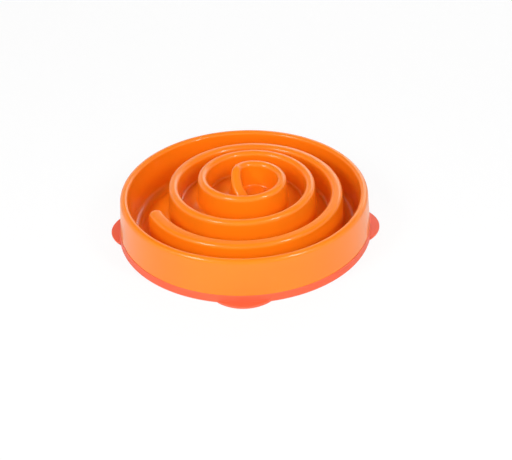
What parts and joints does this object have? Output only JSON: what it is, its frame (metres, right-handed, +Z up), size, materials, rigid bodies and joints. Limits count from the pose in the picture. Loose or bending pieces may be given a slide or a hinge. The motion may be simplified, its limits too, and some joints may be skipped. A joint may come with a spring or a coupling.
{
  "type": "slow feeder bowl",
  "caption": "Round pet bowl whose domed floor carries one rising spiral ridge that slows eating, on a soft non-slip base ring with round tabs.",
  "frame": {"origin": "centre of the bowl on the surface that it stands on", "axes": "+Z up, -Y towards the front; the four tabs point along +X, +Y, -X and -Y"},
  "size_m": [0.3082, 0.3082, 0.0779],
  "materials": {
    "bowl_plastic": "satin-gloss injection moulding, orange",
    "ring_rubber": "soft satin moulding, coral red"
  },
  "bodies": {
    "root": {"bowl_shell": "bowl_plastic", "base_ring": "ring_rubber"}
  },
  "joints": []
}
